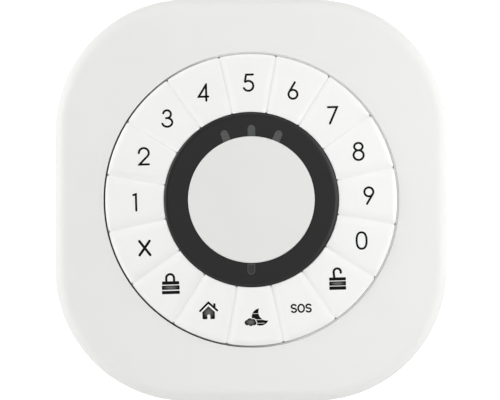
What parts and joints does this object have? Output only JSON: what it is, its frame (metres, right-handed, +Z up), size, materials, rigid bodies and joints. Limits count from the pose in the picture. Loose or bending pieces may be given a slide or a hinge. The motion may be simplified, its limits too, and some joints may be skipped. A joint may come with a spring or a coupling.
{
  "type": "alarm keypad panel",
  "caption": "Wall-mounted alarm keypad: rounded-square housing with a ring of wedge keys round a smoked indicator ring and a tag-reader disc, on a lift-off wall plate.",
  "frame": {"origin": "centre of the wall plate's back face, where it lies on the wall", "axes": "+X to the right of someone facing the keys, +Z up, keys facing -Y, wall at +Y"},
  "size_m": [0.11, 0.0285, 0.1128],
  "materials": {
    "housing_plastic": "fine satin texture",
    "rear_plastic": "plain moulded, faint ejector marks",
    "key_plastic": "smooth satin with printed legends",
    "disc_plastic": "fine satin texture",
    "smoked_plastic": "semi-gloss smoked",
    "light_pipe": "smoked translucent",
    "black_plastic": "moulded",
    "white_silicone": "matt",
    "grey_silicone": "matt",
    "carbon_pill": "matt",
    "foam_tape": "closed-cell foam under a paper liner",
    "board_laminate": "solder mask",
    "copper": "satin",
    "chip_package": "moulded epoxy",
    "shield_can": "tin plate",
    "led_package": "satin",
    "pin_plastic": "acetal",
    "battery_wrap": null,
    "plated_steel": "nickel plate",
    "spring_steel": "nickel plate",
    "screw_steel": "zinc plate"
  },
  "bodies": {
    "wall_plate": {"wall_plate": "housing_plastic", "adhesive_strips": "foam_tape"},
    "keypad_unit": {"front_cover": "housing_plastic", "rear_housing": "rear_plastic", "key_frame": "black_plastic", "key_web": "white_silicone", "dome_mat": "grey_silicone", "contact_pills": "carbon_pill", "light_ring": "smoked_plastic", "light_pipes": "light_pipe", "centre_disc": "disc_plastic", "tag_reader_board": "board_laminate", "tag_reader_coil": "copper", "circuit_board": "board_laminate", "controller_chip": "chip_package", "radio_module": "shield_can", "radio_antenna": "spring_steel", "buzzer": "chip_package", "status_leds": "led_package", "tamper_switch": "chip_package", "battery_1": "battery_wrap", "battery_2": "battery_wrap", "battery_3": "battery_wrap", "battery_4": "battery_wrap", "battery_contacts": "plated_steel", "battery_springs": "spring_steel", "cover_screws": "screw_steel", "board_screws": "screw_steel"},
    "tamper_pin": {"tamper_pin": "pin_plastic"},
    "key_5": {"key_5": "key_plastic"},
    "key_6": {"key_6": "key_plastic"},
    "key_7": {"key_7": "key_plastic"},
    "key_8": {"key_8": "key_plastic"},
    "key_9": {"key_9": "key_plastic"},
    "key_0": {"key_0": "key_plastic"},
    "key_disarm": {"key_disarm": "key_plastic"},
    "key_sos": {"key_sos": "key_plastic"},
    "key_night": {"key_night": "key_plastic"},
    "key_home": {"key_home": "key_plastic"},
    "key_arm": {"key_arm": "key_plastic"},
    "key_x": {"key_x": "key_plastic"},
    "key_1": {"key_1": "key_plastic"},
    "key_2": {"key_2": "key_plastic"},
    "key_3": {"key_3": "key_plastic"},
    "key_4": {"key_4": "key_plastic"}
  },
  "joints": [
    {"name": "lift_off", "type": "slide", "parent": "wall_plate", "child": "keypad_unit", "axis": [0, -1, 0], "range_m": [0, 0.04]},
    {"name": "press_5", "type": "slide", "parent": "keypad_unit", "child": "key_5", "axis": [0, 1, 0], "range_m": [0, 0.0009], "stiffness_N_per_m": 1500, "springref_m": -0.0003, "deforming": ["dome_mat", "contact_pills"]},
    {"name": "press_6", "type": "slide", "parent": "keypad_unit", "child": "key_6", "axis": [0, 1, 0], "range_m": [0, 0.0009], "stiffness_N_per_m": 1500, "springref_m": -0.0003, "deforming": ["dome_mat", "contact_pills"]},
    {"name": "press_7", "type": "slide", "parent": "keypad_unit", "child": "key_7", "axis": [0, 1, 0], "range_m": [0, 0.0009], "stiffness_N_per_m": 1500, "springref_m": -0.0003, "deforming": ["dome_mat", "contact_pills"]},
    {"name": "press_8", "type": "slide", "parent": "keypad_unit", "child": "key_8", "axis": [0, 1, 0], "range_m": [0, 0.0009], "stiffness_N_per_m": 1500, "springref_m": -0.0003, "deforming": ["dome_mat", "contact_pills"]},
    {"name": "press_9", "type": "slide", "parent": "keypad_unit", "child": "key_9", "axis": [0, 1, 0], "range_m": [0, 0.0009], "stiffness_N_per_m": 1500, "springref_m": -0.0003, "deforming": ["dome_mat", "contact_pills"]},
    {"name": "press_0", "type": "slide", "parent": "keypad_unit", "child": "key_0", "axis": [0, 1, 0], "range_m": [0, 0.0009], "stiffness_N_per_m": 1500, "springref_m": -0.0003, "deforming": ["dome_mat", "contact_pills"]},
    {"name": "press_disarm", "type": "slide", "parent": "keypad_unit", "child": "key_disarm", "axis": [0, 1, 0], "range_m": [0, 0.0009], "stiffness_N_per_m": 1500, "springref_m": -0.0003, "deforming": ["dome_mat", "contact_pills"]},
    {"name": "press_sos", "type": "slide", "parent": "keypad_unit", "child": "key_sos", "axis": [0, 1, 0], "range_m": [0, 0.0009], "stiffness_N_per_m": 1500, "springref_m": -0.0003, "deforming": ["dome_mat", "contact_pills"]},
    {"name": "press_night", "type": "slide", "parent": "keypad_unit", "child": "key_night", "axis": [0, 1, 0], "range_m": [0, 0.0009], "stiffness_N_per_m": 1500, "springref_m": -0.0003, "deforming": ["dome_mat", "contact_pills"]},
    {"name": "press_home", "type": "slide", "parent": "keypad_unit", "child": "key_home", "axis": [0, 1, 0], "range_m": [0, 0.0009], "stiffness_N_per_m": 1500, "springref_m": -0.0003, "deforming": ["dome_mat", "contact_pills"]},
    {"name": "press_arm", "type": "slide", "parent": "keypad_unit", "child": "key_arm", "axis": [0, 1, 0], "range_m": [0, 0.0009], "stiffness_N_per_m": 1500, "springref_m": -0.0003, "deforming": ["dome_mat", "contact_pills"]},
    {"name": "press_x", "type": "slide", "parent": "keypad_unit", "child": "key_x", "axis": [0, 1, 0], "range_m": [0, 0.0009], "stiffness_N_per_m": 1500, "springref_m": -0.0003, "deforming": ["dome_mat", "contact_pills"]},
    {"name": "press_1", "type": "slide", "parent": "keypad_unit", "child": "key_1", "axis": [0, 1, 0], "range_m": [0, 0.0009], "stiffness_N_per_m": 1500, "springref_m": -0.0003, "deforming": ["dome_mat", "contact_pills"]},
    {"name": "press_2", "type": "slide", "parent": "keypad_unit", "child": "key_2", "axis": [0, 1, 0], "range_m": [0, 0.0009], "stiffness_N_per_m": 1500, "springref_m": -0.0003, "deforming": ["dome_mat", "contact_pills"]},
    {"name": "press_3", "type": "slide", "parent": "keypad_unit", "child": "key_3", "axis": [0, 1, 0], "range_m": [0, 0.0009], "stiffness_N_per_m": 1500, "springref_m": -0.0003, "deforming": ["dome_mat", "contact_pills"]},
    {"name": "press_4", "type": "slide", "parent": "keypad_unit", "child": "key_4", "axis": [0, 1, 0], "range_m": [0, 0.0009], "stiffness_N_per_m": 1500, "springref_m": -0.0003, "deforming": ["dome_mat", "contact_pills"]},
    {"name": "tamper_release", "type": "slide", "parent": "keypad_unit", "child": "tamper_pin", "axis": [0, 1, 0], "range_m": [0, 0.0015]}
  ],
  "couplings": [
    {"joint": "tamper_release", "follows": "lift_off", "ratio": 0.0375}
  ]
}
